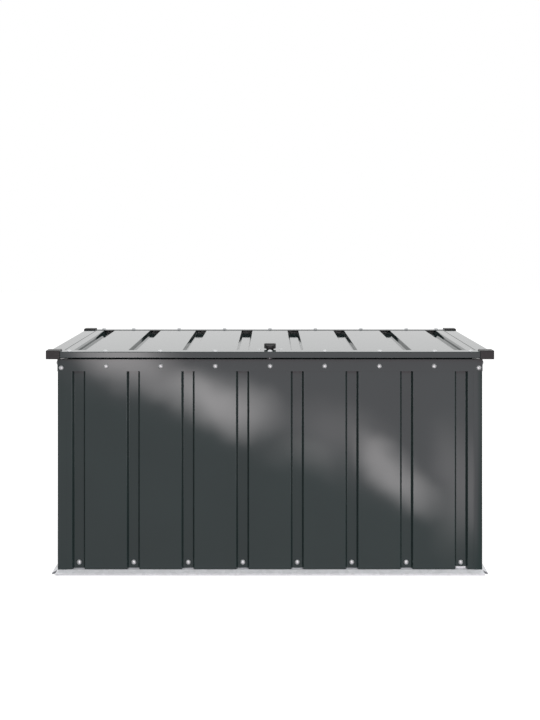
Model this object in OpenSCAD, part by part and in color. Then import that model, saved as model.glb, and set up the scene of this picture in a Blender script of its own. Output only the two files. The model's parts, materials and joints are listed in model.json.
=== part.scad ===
// Sheet steel deck storage box with a hinged, gas strut assisted lid.
// X is the width, -Y is the front and Z = 0 is the ground under the base.

/* [Overall] */
// Width over the corner caps of the lid
box_w = 1290; // [1180:5:1400]
// Depth over the corner caps of the lid
box_d = 670; // [620:5:760]
// Height from the ground to the top of the corner caps
box_h = 650; // [560:5:760]

/* [Pressed sheets] */
// How many of the grooves that fit the front, back and lid sheets are left out
wide_left_out = 0; // [0:1:2]
// How many of the grooves that fit a side wall are left out
side_left_out = 0; // [0:2:2]
// Thickness of the painted wall, lid and floor sheets
sheet_t = 0.5; // [0.4:0.1:0.8]
// Distance from one groove to the next
groove_pitch = 158.5; // [150:0.5:162]
// Width of a groove at its mouth
groove_mouth = 37; // [33:1:41]
// Width of a groove at its floor
groove_floor = 28; // [26:1:30]
// Depth of a groove
groove_depth = 12; // [9:0.5:13]

/* [Lid] */
// Distance from the lid's long front edge to the wall behind it
lid_overhang = 25; // [22:1:32]
// How far the corner caps stand out beyond the edge trims
cap_proud = 4; // [3:0.5:5]
// Length of each side of a corner cap
cap_w = 40; // [32:1:46]
// Height of the edge trims
trim_h = 18.5; // [17:0.5:24]
// Width of the trims' top flange
trim_top_w = 40; // [34:1:44]
// Width of the trims' bottom flange
trim_bottom_w = 45; // [42:1:50]
// Thickness of the trims and rails
rail_t = 1; // [0.8:0.1:1.5]
// Gap between the lid's underside and the top rails
lid_gap = 5; // [4.5:0.5:7]

/* [Rails and base] */
// Height of the band of the top rails
top_rail_h = 35.5; // [30:0.5:48]
// Width of the top rails
top_rail_w = 33; // [30:1:36]
// Height of the base rails where the walls stand on them
base_rail_h = 12.4; // [10:0.2:16]
// How far the sloping skirt of the base stands out beyond the walls
skirt_w = 16; // [12:1:20]
// Height of the skirt's outer lip
skirt_lip_h = 5; // [4:0.5:8]
// Leg width of the corner posts
post_w = 25; // [20:1:30]

/* [Latch] */
// Distance from the front rail's inner leg back to the knob's axis
knob_setback = 15; // [13:0.5:19]
// Diameter of the knob
knob_dia = 34.5; // [30:0.5:40]
// Height of the knob's cap
knob_h = 14.3; // [12:0.1:18]
// Diameter of the latch spindle
spindle_dia = 8; // [7:0.5:9]
// Reach of the cam from the spindle's axis
cam_reach = 24; // [21:1:26]

/* [Gas struts] */
// Outer diameter of a cylinder
strut_dia = 18; // [15:1:20]
// Diameter of a piston rod
rod_dia = 8; // [6:1:9]
// Height of the lower stud below the upper one, lid shut
strut_drop = 202; // [190:1:220]

/* [Screws] */
// Head diameter of the dome screws
screw_head = 14; // [11:0.5:15]
// Head height of the dome screws
screw_head_h = 5; // [3:0.5:5.5]
// Shank diameter of the dome screws
screw_dia = 4.8; // [4:0.1:5.5]
// Shank length of the dome screws
screw_len = 12; // [10:0.5:14]
// Diameter of the rivets
rivet_dia = 4; // [3:0.1:4.8]

/* [Clearances] */
// Radial gap round a turning or sliding pin
running_gap = 0.05; // [0.03:0.01:0.1]
// Radial gap round a screw or rivet in its hole
hole_gap = 0.1; // [0.05:0.01:0.3]
// Gap between parts that pass each other
pass_gap = 0.4; // [0.3:0.05:0.6]

/* [Hidden] */
$fn = 48;

anthracite = [0.25, 0.27, 0.28];
zinc = [0.74, 0.75, 0.77];
steel = [0.6, 0.61, 0.62];
black = [0.09, 0.09, 0.1];
chrome = [0.85, 0.86, 0.87];
rubber = [0.14, 0.14, 0.15];

// Heights, from the caps down to the walls
cap_top = box_h;
trim_top = cap_top - cap_proud;
trim_bottom = trim_top - trim_h;
cap_floor_t = 3;
rail_top = trim_bottom - lid_gap;
band_bottom = rail_top - top_rail_h;
lip_bottom = rail_top - 17.5;
sheet_top = trim_top - rail_t;
trough_top = sheet_top - groove_depth;
trough_under = trough_top - sheet_t;

// Outlines: caps, trims, top rails, walls and base
cap_side_proud = cap_proud + 1;
trim_x = box_w / 2 - cap_side_proud;
trim_y = box_d / 2 - cap_proud;
wall_y = box_d / 2 - lid_overhang;
wall_x = box_w / 2 - lid_overhang - 5;
rail_x = wall_x + rail_t;
rail_y = wall_y + rail_t;
rail_inner_y = rail_y - top_rail_w;

// Walls: they stand just above the base rails and reach under the top rails
wall_bottom = base_rail_h + 1;
wall_top = rail_top - rail_t;
// The front and back walls run over the ends of the side walls
side_half = wall_y - sheet_t;
groove_back = groove_depth + sheet_t;
// Sideways shift that keeps the sheet's thickness on the slope of a groove
slope_run = (groove_mouth - groove_floor) / 2;
slope_shift = sheet_t * tan(atan2(groove_depth, slope_run) / 2);
drain_w = 28;
drain_h = 5;

// As many grooves as fit between the corner posts, in pairs about the middle
function fitting_grooves(half) =
    2 * floor((half - post_w - groove_mouth / 2) / groove_pitch + 0.5);
wide_grooves = fitting_grooves(wall_x) - wide_left_out;
side_grooves = fitting_grooves(wall_y) - side_left_out;
wide_groove_x = [for (i = [0:wide_grooves - 1]) (i - (wide_grooves - 1) / 2) * groove_pitch];
wide_flat_x = [for (i = [0:wide_grooves - 2]) (i - (wide_grooves - 2) / 2) * groove_pitch];
side_groove_y = [for (i = [0:side_grooves - 1]) (i - (side_grooves - 1) / 2) * groove_pitch];
side_flat_y = [for (i = [0:side_grooves - 2]) (i - (side_grooves - 2) / 2) * groove_pitch];

// Base rails
skirt_corner = 5;
upstand_top = 45;
ledge_w = 38;
hem_w = 20;
base_t = 1;
upstand_back = groove_back + base_t;
floor_gap = 0.4;

// Screws
screw_r = screw_dia / 2;
screw_hole_r = screw_r + hole_gap;
base_screw_z = 30;
band_screw_z = rail_top - 20.5;
corner_screw_z = rail_top - 25.5;
corner_screw_inset = 10;
// The side walls' corner screws sit higher, so that they miss the front and back ones
side_corner_screw_z = corner_screw_z + 14;
lid_screw_setback = 12;
lid_screw_y = box_d / 2 - lid_screw_setback;
lid_end_screw_inset = 66;

// Rivets
rivet_r = rivet_dia / 2;
rivet_hole_r = rivet_r + hole_gap;
rivet_head_r = rivet_r * 2;
rivet_head_h = 1.6;
rivet_tail_h = 1.2;

// Hinges
hinge_x = groove_pitch * 2.5;
hinge_w = 60;
hinge_segments = 5;
hinge_t = 2;
knuckle_r = 4.5;
pin_r = 2.45;
axis_y = rail_y + 5;
axis_z = rail_top + 0.1;
knuckle_reach = knuckle_r + 1.1;
segment_w = hinge_w / hinge_segments;
wall_leaf_bottom = rail_top - 32;
wall_rivet_z = rail_top - 22;
lid_leaf_front = axis_y - 28;
lid_rivet_y = axis_y - 18;
leaf_rivet_x = [-13, 0, 13];

// Lid braces
brace_y = 130;
brace_w = 40;
brace_rivet_x = trim_x - 22;
brace_rivet_dy = 12;

// Latch
knob_y = -rail_inner_y + knob_setback;
neck_h = 2.7;
neck_r = 11;
knob_base = sheet_top + pass_gap;
spindle_r = spindle_dia / 2;
cam_t = 3;
cam_top = lip_bottom - 1.5;
cam_bottom = cam_top - cam_t;
cam_hub_r = spindle_r + 4.5;
cam_arm_w = 14;
nut_h = 6;
barrel_r = 11;
barrel_bottom = cam_top + 4.5;
housing_t = 1.5;
housing_w = 84;
housing_d = 32;
latch_screw_x = 32;
latch_screw_r = 2;
spindle_bottom = cam_bottom - nut_h - 1;
keeper_t = 1.5;
keeper_w = 50;
keeper_rivet_x = 17;
keeper_rivet_z = rail_top - 9.5;
keeper_lip = 2.5;

// Gas struts: the upper stud hangs from the last trough of the lid, and the lower stud
// stands on the back of the last groove of the side wall
strut_outset = 13.25;
stud_r = 4;
eye_t = 10;
eye_r = strut_dia / 2;
lid_bracket_x = wide_groove_x[wide_grooves - 1];
strut_x = lid_bracket_x + strut_outset;
upper_stud_y = axis_y - 76;
upper_stud_z = trough_under - 30.2;
lower_stud_y = side_groove_y[side_grooves - 1];
lower_stud_z = upper_stud_z - strut_drop;
strut_len = norm([upper_stud_y - lower_stud_y, strut_drop]);
strut_tilt = atan2(strut_drop, upper_stud_y - lower_stud_y) - 90;
cylinder_top = 150;
cylinder_wall = 1.8;
guide_t = 4;
piston_start = 30;
piston_t = 10;
// The upper socket stops just short of its stud, so the two stay apart at every angle
socket_gap = 0.6;
lid_plate_t = 2;
bracket_t = 2;
bridge_gap = 3.5;
wall_bracket_w = 26;
wall_bracket_h = 70;
wall_rivet_dz = 26;

// ---- Shared shapes ----

// Draws a child made for the front wall on another side.
// Its x runs along the wall, its y points into the box, and y = 0 is the given plane.
module on_side(angle, reach) {
    rotate([0, 0, angle]) translate([0, -reach, 0]) children();
}

// A profile in (depth, height), drawn along X and cut to a plan outline
module long_rail(outline, low, high) {
    length = max([for (p = outline) p[0]]) * 2 + 2;
    intersection() {
        rotate([90, 0, 90]) linear_extrude(length, center = true) children();
        translate([0, 0, low - 1]) linear_extrude(high - low + 2) polygon(outline);
    }
}

// Plan outline of a rail of half length l and width w, mitred at both ends
function mitred(l, w) = [[-l, 0], [l, 0], [l - w, w], [-l + w, w]];

// Mirrors a child drawn for the right or the back to the left or the front
module flip(sx, sy) {
    mirror([sx < 0 ? 1 : 0, 0, 0]) mirror([0, sy < 0 ? 1 : 0, 0]) children();
}

// Points round one groove, at a given depth below the sheet's face
function groove_points(c, inset, shift) = [
    [c - groove_mouth / 2 - shift, inset],
    [c - groove_floor / 2 - shift, inset + groove_depth],
    [c + groove_floor / 2 + shift, inset + groove_depth],
    [c + groove_mouth / 2 + shift, inset]];

function sheet_line(half, centres, inset, shift) = concat(
    [[-half, inset]],
    [for (c = centres) each groove_points(c, inset, shift)],
    [[half, inset]]);

function reversed(points) = [for (i = [len(points) - 1:-1:0]) points[i]];

// Cross section of a grooved sheet: its face is y = 0 and its grooves go to +y
module grooved_section(half, centres) {
    polygon(concat(
        sheet_line(half, centres, 0, 0),
        reversed(sheet_line(half, centres, sheet_t, slope_shift))));
}

// Part of a ball that stands on z = 0
module dome(r, h) {
    ball_r = (r * r + h * h) / (2 * h);
    intersection() {
        translate([0, 0, h - ball_r]) sphere(ball_r);
        cylinder(h = h + 1, r = r + 1);
    }
}

// Dome head screw whose head seats on z = 0 and whose shank goes down
module dome_screw() {
    dome(screw_head / 2, screw_head_h);
    translate([0, 0, -screw_len]) cylinder(h = screw_len + 0.5, r = screw_r);
}

// Rivet whose head seats on z = 0 and whose tail closes below the grip
module rivet(grip) {
    dome(rivet_head_r, rivet_head_h);
    translate([0, 0, -grip - 0.1]) cylinder(h = grip + 0.6, r = rivet_r);
    translate([0, 0, -grip - rivet_tail_h]) cylinder(h = rivet_tail_h, r = rivet_r * 1.6);
}

// A hole along Y, for a fastener that goes into a wall from outside
module wall_hole(x, z, r) {
    translate([x, -20, z]) rotate([-90, 0, 0]) cylinder(h = 60, r = r);
}

// Turns a fastener's shank from -Z to +Y, so that it goes into a wall from outside
module into_wall(x, y, z) {
    translate([x, y, z]) rotate([90, 0, 0]) children();
}

// ---- Base ----

module base_profile() {
    // Hem, lip, sloping skirt and ledge, bent from one strip
    polygon([
        [-skirt_w, 0], [-skirt_w + hem_w, 0], [-skirt_w + hem_w, base_t],
        [-skirt_w + base_t, base_t], [-skirt_w + base_t, skirt_lip_h - 0.6],
        [0.4, base_rail_h - base_t], [ledge_w, base_rail_h - base_t], [ledge_w, base_rail_h],
        [0, base_rail_h], [-skirt_w, skirt_lip_h]]);
    // Upstand that the walls are screwed to
    translate([groove_back, base_rail_h - 0.5]) square([base_t, upstand_top - base_rail_h + 0.5]);
}

module base_rail(half, grooves) {
    outline = [
        [-half - skirt_corner, -skirt_w - 1], [half + skirt_corner, -skirt_w - 1],
        [half + skirt_corner, -skirt_corner], [half - ledge_w, ledge_w],
        [-half + ledge_w, ledge_w], [-half - skirt_corner, -skirt_corner]];
    color(zinc) difference() {
        long_rail(outline, 0, upstand_top) base_profile();
        for (c = grooves) wall_hole(c, base_screw_z, screw_hole_r);
    }
}

module base_rail_front() { on_side(0, wall_y) base_rail(wall_x, wide_groove_x); }
module base_rail_back() { on_side(180, wall_y) base_rail(wall_x, wide_groove_x); }
module base_rail_left() { on_side(-90, wall_x) base_rail(wall_y, side_groove_y); }
module base_rail_right() { on_side(90, wall_x) base_rail(wall_y, side_groove_y); }

// Hat channel under the joint of the two floor panels, with a tab under each ledge
module floor_crossmember() {
    web_w = 50;
    foot_gap = 0.4;
    tab_len = 24;
    reach = wall_y - ledge_w - floor_gap;
    color(zinc) {
        rotate([90, 0, 0]) linear_extrude(2 * reach, center = true) difference() {
            translate([-web_w / 2, foot_gap]) square([web_w, base_rail_h - foot_gap]);
            translate([-web_w / 2 + base_t, 0])
                square([web_w - 2 * base_t, base_rail_h - base_t]);
        }
        for (s = [-1, 1])
            translate([-web_w / 2, s * reach - tab_len / 2, base_rail_h - 2 * base_t])
                cube([web_w, tab_len, base_t]);
    }
}

// Floor panel on the ledges, with two pressed ribs
module floor_panel(side) {
    reach_x = wall_x - upstand_back - floor_gap;
    reach_y = wall_y - upstand_back - floor_gap;
    half_gap = floor_gap / 2;
    rib_h = 3;
    rib_w = 24;
    rib_len = 2 * reach_y - 120;
    span = reach_x - half_gap;
    color(zinc) translate([side > 0 ? half_gap : -reach_x, -reach_y, base_rail_h]) {
        difference() {
            union() {
                cube([span, 2 * reach_y, sheet_t]);
                for (f = [1 / 3, 2 / 3])
                    translate([span * f - rib_w / 2, 60, 0]) cube([rib_w, rib_len, rib_h]);
            }
            for (f = [1 / 3, 2 / 3])
                translate([span * f - rib_w / 2 + sheet_t, 60 + sheet_t, -1])
                    cube([rib_w - 2 * sheet_t, rib_len - 2 * sheet_t, rib_h - sheet_t + 1]);
        }
    }
}

module floor_panel_left() { floor_panel(-1); }
module floor_panel_right() { floor_panel(1); }

// ---- Walls ----

module wall(half, grooves, flats, corner_z, drains, strut_holes) {
    color(anthracite) difference() {
        translate([0, 0, wall_bottom]) linear_extrude(wall_top - wall_bottom)
            grooved_section(half, grooves);
        for (c = grooves) wall_hole(c, base_screw_z, screw_hole_r);
        for (c = flats) wall_hole(c, band_screw_z, screw_hole_r);
        for (s = [-1, 1]) wall_hole(s * (half - corner_screw_inset), corner_z, screw_hole_r);
        for (c = drains)
            translate([c - drain_w / 2, groove_depth - 1, wall_bottom - 1])
                cube([drain_w, sheet_t + 2, drain_h + 1]);
        for (c = strut_holes, dz = [-1, 1] * wall_rivet_dz)
            wall_hole(c, lower_stud_z + dz, rivet_hole_r);
    }
}

module front_wall() {
    on_side(0, wall_y) wall(wall_x, wide_groove_x, wide_flat_x, corner_screw_z,
        [wide_groove_x[wide_grooves - 1]], []);
}
module back_wall() {
    on_side(180, wall_y) wall(wall_x, wide_groove_x, wide_flat_x, corner_screw_z, [], []);
}
module left_wall() {
    on_side(-90, wall_x)
        wall(side_half, side_groove_y, side_flat_y, side_corner_screw_z, [], [-lower_stud_y]);
}
module right_wall() {
    on_side(90, wall_x)
        wall(side_half, side_groove_y, side_flat_y, side_corner_screw_z, [], [lower_stud_y]);
}

// Angle post inside a corner; sx and sy say which corner
module corner_post(sx, sy) {
    x = wall_x - sheet_t;
    y = wall_y - sheet_t;
    screw_x = wall_x - corner_screw_inset;
    screw_y = side_half - corner_screw_inset;
    color(anthracite) flip(sx, sy) difference() {
        translate([0, 0, base_rail_h]) linear_extrude(wall_top - base_rail_h) {
            translate([x - post_w, y - rail_t]) square([post_w, rail_t]);
            translate([x - rail_t, y - post_w]) square([rail_t, post_w]);
        }
        translate([screw_x, y - 10, corner_screw_z]) rotate([-90, 0, 0])
            cylinder(h = 20, r = screw_hole_r);
        translate([x - 10, screw_y, side_corner_screw_z]) rotate([0, 90, 0])
            cylinder(h = 20, r = screw_hole_r);
    }
}

module corner_post_front_left() { corner_post(-1, -1); }
module corner_post_front_right() { corner_post(1, -1); }
module corner_post_back_left() { corner_post(-1, 1); }
module corner_post_back_right() { corner_post(1, 1); }

// ---- Top rails ----

module top_rail(half, flats, corner_x, corner_z) {
    color(anthracite) difference() {
        long_rail(mitred(half, top_rail_w), band_bottom, rail_top) {
            translate([0, band_bottom]) square([rail_t, top_rail_h]);
            translate([0, rail_top - rail_t]) square([top_rail_w, rail_t]);
            translate([top_rail_w - rail_t, lip_bottom]) square([rail_t, rail_top - lip_bottom]);
        }
        for (c = flats) outer_leg_hole(c, band_screw_z, screw_hole_r);
        for (s = [-1, 1]) outer_leg_hole(s * corner_x, corner_z, screw_hole_r);
    }
}

// A hole through a top rail's outer leg only
module outer_leg_hole(x, z, r) {
    translate([x, -5, z]) rotate([-90, 0, 0]) cylinder(h = 15, r = r);
}

module top_rail_front() {
    difference() {
        on_side(0, rail_y)
            top_rail(rail_x, wide_flat_x, wall_x - corner_screw_inset, corner_screw_z);
        for (x = [-1, 1] * keeper_rivet_x)
            translate([x, -rail_inner_y - 10, keeper_rivet_z]) rotate([-90, 0, 0])
                cylinder(h = 20, r = rivet_hole_r);
    }
}
module top_rail_back() {
    difference() {
        on_side(180, rail_y)
            top_rail(rail_x, wide_flat_x, wall_x - corner_screw_inset, corner_screw_z);
        for (hx = [-1, 1] * hinge_x, dx = leaf_rivet_x)
            translate([hx + dx, rail_y - 5, wall_rivet_z]) rotate([-90, 0, 0])
                cylinder(h = 10, r = rivet_hole_r);
    }
}
module top_rail_left() {
    on_side(-90, rail_x)
        top_rail(rail_y, side_flat_y, side_half - corner_screw_inset, side_corner_screw_z);
}
module top_rail_right() {
    on_side(90, rail_x)
        top_rail(rail_y, side_flat_y, side_half - corner_screw_inset, side_corner_screw_z);
}

// ---- Wall fasteners ----

module wall_screws(grooves, flats, corner_x, corner_z) {
    color(chrome) {
        for (c = grooves) into_wall(c, groove_depth, base_screw_z) dome_screw();
        for (c = flats) into_wall(c, -rail_t, band_screw_z) dome_screw();
        for (s = [-1, 1]) into_wall(s * corner_x, -rail_t, corner_z) dome_screw();
    }
}

module front_wall_screws() {
    on_side(0, wall_y) wall_screws(wide_groove_x, wide_flat_x,
        wall_x - corner_screw_inset, corner_screw_z);
}
module back_wall_screws() {
    on_side(180, wall_y) wall_screws(wide_groove_x, wide_flat_x,
        wall_x - corner_screw_inset, corner_screw_z);
}
module left_wall_screws() {
    on_side(-90, wall_x) wall_screws(side_groove_y, side_flat_y,
        side_half - corner_screw_inset, side_corner_screw_z);
}
module right_wall_screws() {
    on_side(90, wall_x) wall_screws(side_groove_y, side_flat_y,
        side_half - corner_screw_inset, side_corner_screw_z);
}

// Soft stops on the top rails that the lid closes onto
module lid_bumpers() {
    bumper_r = 6;
    bumper_h = lid_gap - pass_gap;
    mid = top_rail_w / 2;
    color(rubber) for (p = [
            [-groove_pitch * 3, -rail_y + mid], [groove_pitch * 3, -rail_y + mid],
            [-rail_x + mid, 0], [rail_x - mid, 0]])
        translate([p[0], p[1], rail_top]) cylinder(h = bumper_h, r = bumper_r);
}

// ---- Latch ----

// Angle strip on the front rail that the cam turns under
module latch_keeper() {
    face = -rail_inner_y;
    color(zinc) difference() {
        union() {
            translate([-keeper_w / 2, face, lip_bottom])
                cube([keeper_w, keeper_t, rail_top - 2.5 - lip_bottom]);
            translate([-keeper_w / 2, face, lip_bottom])
                cube([keeper_w, keeper_t + keeper_lip, keeper_t]);
        }
        for (x = [-1, 1] * keeper_rivet_x)
            translate([x, face - 5, keeper_rivet_z]) rotate([-90, 0, 0])
                cylinder(h = 10, r = rivet_hole_r);
    }
}

// Plate under the lid with the barrel that carries the spindle
module latch_housing() {
    plate_top = sheet_top - sheet_t;
    color(zinc) difference() {
        union() {
            translate([-housing_w / 2, knob_y - housing_d / 2, plate_top - housing_t])
                cube([housing_w, housing_d, housing_t]);
            translate([0, knob_y, barrel_bottom])
                cylinder(h = plate_top - barrel_bottom, r = barrel_r);
        }
        translate([0, knob_y, barrel_bottom - 1])
            cylinder(h = plate_top - barrel_bottom + 2, r = spindle_r + running_gap);
        for (x = [-1, 1] * latch_screw_x)
            translate([x, knob_y, plate_top - housing_t - 1])
                cylinder(h = housing_t + 2, r = latch_screw_r + hole_gap);
    }
}

// The two low screws beside the knob, and their nuts
module latch_screws() {
    nut_top = sheet_top - sheet_t - housing_t;
    shank = sheet_t + housing_t + 5;
    color(chrome) for (x = [-1, 1] * latch_screw_x) translate([x, knob_y, 0]) {
        translate([0, 0, sheet_top]) dome(4.7, 1.4);
        translate([0, 0, sheet_top - shank]) cylinder(h = shank + 0.5, r = latch_screw_r);
        translate([0, 0, nut_top - 3.2]) difference() {
            cylinder(h = 3.2, r = 4, $fn = 6);
            translate([0, 0, -1]) cylinder(h = 6, r = latch_screw_r + hole_gap);
        }
    }
}

module latch_knob() {
    scoop_r = 14;
    scoop_depth = 6;
    bar_w = 9;
    color(black) translate([0, knob_y, knob_base]) difference() {
        union() {
            cylinder(h = neck_h + 1, r = neck_r);
            translate([0, 0, neck_h]) rotate_extrude($fn = 96) polygon([
                [0, 0], [knob_dia / 2 - 0.6, 0], [knob_dia / 2, 0.6],
                [knob_dia / 2, knob_h - 1.5], [knob_dia / 2 - 1.5, knob_h], [0, knob_h]]);
        }
        // Blind bore for the spindle
        translate([0, 0, -1]) cylinder(h = 9, r = spindle_r);
        // Finger scoops either side of the grip bar
        for (s = [-1, 1])
            translate([0, s * (bar_w / 2 + scoop_r), neck_h + knob_h - scoop_depth + scoop_r])
                rotate([0, 90, 0])
                    cylinder(h = knob_dia * 0.7, r = scoop_r, center = true);
    }
}

module latch_spindle() {
    color(steel) translate([0, knob_y, spindle_bottom])
        cylinder(h = knob_base + 8 - spindle_bottom, r = spindle_r);
}

// Cam with its arm along +X, clear of the keeper
module latch_cam() {
    color(zinc) translate([0, knob_y, cam_bottom]) difference() {
        union() {
            cylinder(h = cam_t, r = cam_hub_r);
            translate([0, -cam_arm_w / 2, 0]) cube([cam_reach, cam_arm_w, cam_t]);
        }
        translate([0, 0, -1]) cylinder(h = cam_t + 2, r = spindle_r);
    }
}

module latch_nut() {
    color(chrome) translate([0, knob_y, cam_bottom - nut_h]) difference() {
        cylinder(h = nut_h, r = spindle_r + 3.5, $fn = 6);
        translate([0, 0, -1]) cylinder(h = nut_h + 2, r = spindle_r);
    }
}

// ---- Lid ----

// The lid sheet lies face up with its grooves running from front to back
module lid_sheet() {
    half_x = trim_x - rail_t - 0.5;
    length = 2 * (trim_y - rail_t - 0.5);
    color(anthracite) difference() {
        translate([0, 0, sheet_top]) rotate([-90, 0, 0])
            linear_extrude(length, center = true) grooved_section(half_x, wide_groove_x);
        for (s = [-1, 1], x = lid_screw_xs()) lid_hole(x, s * lid_screw_y, screw_hole_r);
        lid_hole(0, knob_y, spindle_r + 0.5);
        for (x = [-1, 1] * latch_screw_x) lid_hole(x, knob_y, latch_screw_r + hole_gap);
        for (s = [-1, 1], y = strut_rivet_ys()) lid_hole(s * lid_bracket_x, y, rivet_hole_r);
    }
}

module lid_hole(x, y, r) {
    translate([x, y, trim_bottom - 5]) cylinder(h = trim_h + 10, r = r);
}

function lid_screw_xs() = concat(
    [-box_w / 2 + lid_end_screw_inset], wide_flat_x, [box_w / 2 - lid_end_screw_inset]);
function strut_rivet_ys() = [upper_stud_y - 18.5, upper_stud_y + 18.5];

// Channel trim that holds an edge of the lid sheet
module lid_trim(half) {
    width = max(trim_top_w, trim_bottom_w);
    color(anthracite) long_rail(mitred(half, width), trim_bottom, trim_top) {
        translate([0, trim_bottom]) square([rail_t, trim_h]);
        translate([0, trim_top - rail_t]) square([trim_top_w, rail_t]);
        translate([0, trim_bottom]) square([trim_bottom_w, rail_t]);
    }
}

module top_flange_hole(x, y) {
    translate([x, y, trim_top - 5]) cylinder(h = 10, r = screw_hole_r);
}

module bottom_flange_hole(x, y) {
    translate([x, y, trim_bottom - 3]) cylinder(h = 6, r = rivet_hole_r);
}

module lid_trim_front() {
    color(anthracite) difference() {
        on_side(0, trim_y) lid_trim(trim_x);
        for (x = lid_screw_xs()) top_flange_hole(x, -lid_screw_y);
    }
}
module lid_trim_back() {
    color(anthracite) difference() {
        on_side(180, trim_y) lid_trim(trim_x);
        for (x = lid_screw_xs()) top_flange_hole(x, lid_screw_y);
        for (hx = [-1, 1] * hinge_x, dx = leaf_rivet_x) bottom_flange_hole(hx + dx, lid_rivet_y);
    }
}
module side_trim(angle, side) {
    color(anthracite) difference() {
        on_side(angle, trim_x) lid_trim(trim_y);
        for (sy = [-1, 1], d = [-1, 1] * brace_rivet_dy)
            bottom_flange_hole(side * brace_rivet_x, sy * brace_y + d);
    }
}
module lid_trim_left() { side_trim(-90, -1); }
module lid_trim_right() { side_trim(90, 1); }

// Hollow corner cap over the mitred ends of two trims
module lid_cap(sx, sy) {
    corner_r = 3;
    low = trim_bottom - cap_floor_t;
    color(black) flip(sx, sy) translate([box_w / 2 - cap_w, box_d / 2 - cap_w, low])
        difference() {
            linear_extrude(cap_top - low) {
                square([cap_w - corner_r, cap_w]);
                square([cap_w, cap_w - corner_r]);
                translate([cap_w - corner_r, cap_w - corner_r]) circle(corner_r);
            }
            translate([-1, -1, cap_floor_t])
                cube([cap_w - cap_side_proud + 1, cap_w - cap_proud + 1, trim_h]);
        }
}

module lid_cap_front_left() { lid_cap(-1, -1); }
module lid_cap_front_right() { lid_cap(1, -1); }
module lid_cap_back_left() { lid_cap(-1, 1); }
module lid_cap_back_right() { lid_cap(1, 1); }

// Channel across the lid, under the grooves and on the side trims
module lid_brace(y) {
    web = trim_bottom + rail_t;
    reach = trim_x - rail_t - 12;
    color(anthracite) difference() {
        translate([-reach, y - brace_w / 2, web]) cube([2 * reach, brace_w, trough_under - web]);
        translate([-reach - 1, y - brace_w / 2 + rail_t, web + rail_t])
            cube([2 * reach + 2, brace_w - 2 * rail_t, trough_under - web]);
        for (s = [-1, 1], d = [-1, 1] * brace_rivet_dy)
            translate([s * brace_rivet_x, y + d, web - 1]) cylinder(h = 4, r = rivet_hole_r);
    }
}

module lid_brace_front() { lid_brace(-brace_y); }
module lid_brace_back() { lid_brace(brace_y); }

module lid_screw_row(y) {
    color(chrome) for (x = lid_screw_xs()) translate([x, y, trim_top]) dome_screw();
}

module lid_screws_front() { lid_screw_row(-lid_screw_y); }
module lid_screws_back() { lid_screw_row(lid_screw_y); }

// Rivets of the braces, hinge leaves and strut brackets, with their heads below
module lid_rivets() {
    color(steel) {
        for (sx = [-1, 1], sy = [-1, 1], d = [-1, 1] * brace_rivet_dy)
            translate([sx * brace_rivet_x, sy * brace_y + d, trim_bottom])
                rotate([180, 0, 0]) rivet(2 * rail_t);
        for (hx = [-1, 1] * hinge_x, dx = leaf_rivet_x)
            translate([hx + dx, lid_rivet_y, trim_bottom - hinge_t])
                rotate([180, 0, 0]) rivet(hinge_t + rail_t);
        for (s = [-1, 1], y = strut_rivet_ys())
            translate([s * lid_bracket_x, y, trough_under - lid_plate_t])
                rotate([180, 0, 0]) rivet(lid_plate_t + sheet_t);
    }
}

// ---- Hinges ----

// Centre of a hinge segment
function segment_x(i) = (i - (hinge_segments - 1) / 2) * segment_w;

// Knuckles of one leaf, each joined to it by a tongue; first is 0 or 1
module knuckles(first) {
    for (i = [first:2:hinge_segments - 1]) translate([segment_x(i), 0, 0]) {
        rotate([0, 90, 0]) cylinder(h = segment_w - pass_gap, r = knuckle_r, center = true);
        children();
    }
}

module pin_bore() {
    rotate([0, 90, 0]) cylinder(h = hinge_w + 10, r = pin_r + running_gap, center = true);
}

module hinge_wall_leaf(side) {
    tongue = segment_w - pass_gap;
    color(steel) difference() {
        translate([side * hinge_x, axis_y, axis_z]) difference() {
            union() {
                translate([-hinge_w / 2, rail_y - axis_y, wall_leaf_bottom - axis_z])
                    cube([hinge_w, hinge_t, axis_z - knuckle_reach - wall_leaf_bottom]);
                knuckles(0) translate([-tongue / 2, rail_y - axis_y, -knuckle_reach - 0.5])
                    cube([tongue, hinge_t, knuckle_reach + 0.5]);
            }
            pin_bore();
        }
        for (dx = leaf_rivet_x) translate([side * hinge_x + dx, rail_y - 2, wall_rivet_z])
            rotate([-90, 0, 0]) cylinder(h = 10, r = rivet_hole_r);
    }
}

module hinge_lid_leaf(side) {
    tongue = segment_w - pass_gap;
    leaf_z = trim_bottom - hinge_t;
    color(steel) difference() {
        translate([side * hinge_x, axis_y, axis_z]) difference() {
            union() {
                translate([-hinge_w / 2, lid_leaf_front - axis_y, leaf_z - axis_z])
                    cube([hinge_w, axis_y - knuckle_reach - lid_leaf_front, hinge_t]);
                knuckles(1) translate([-tongue / 2, -knuckle_reach - 0.5, leaf_z - axis_z])
                    cube([tongue, knuckle_reach + 0.5, hinge_t]);
            }
            pin_bore();
        }
        for (dx = leaf_rivet_x) translate([side * hinge_x + dx, lid_rivet_y, leaf_z - 2])
            cylinder(h = 6, r = rivet_hole_r);
    }
}

module hinge_pin(side) {
    head_t = 2;
    color(chrome) translate([side * hinge_x, axis_y, axis_z]) rotate([0, 90, 0]) {
        cylinder(h = hinge_w + 2 * pass_gap, r = pin_r, center = true);
        for (s = [-1, 1])
            translate([0, 0, s * (hinge_w / 2 + pass_gap + head_t / 2)])
                cylinder(h = head_t, r = knuckle_r - 0.5, center = true);
    }
}

module hinge_wall_leaf_left() { hinge_wall_leaf(-1); }
module hinge_wall_leaf_right() { hinge_wall_leaf(1); }
module hinge_lid_leaf_left() { hinge_lid_leaf(-1); }
module hinge_lid_leaf_right() { hinge_lid_leaf(1); }
module hinge_pin_left() { hinge_pin(-1); }
module hinge_pin_right() { hinge_pin(1); }

// ---- Gas struts ----

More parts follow.
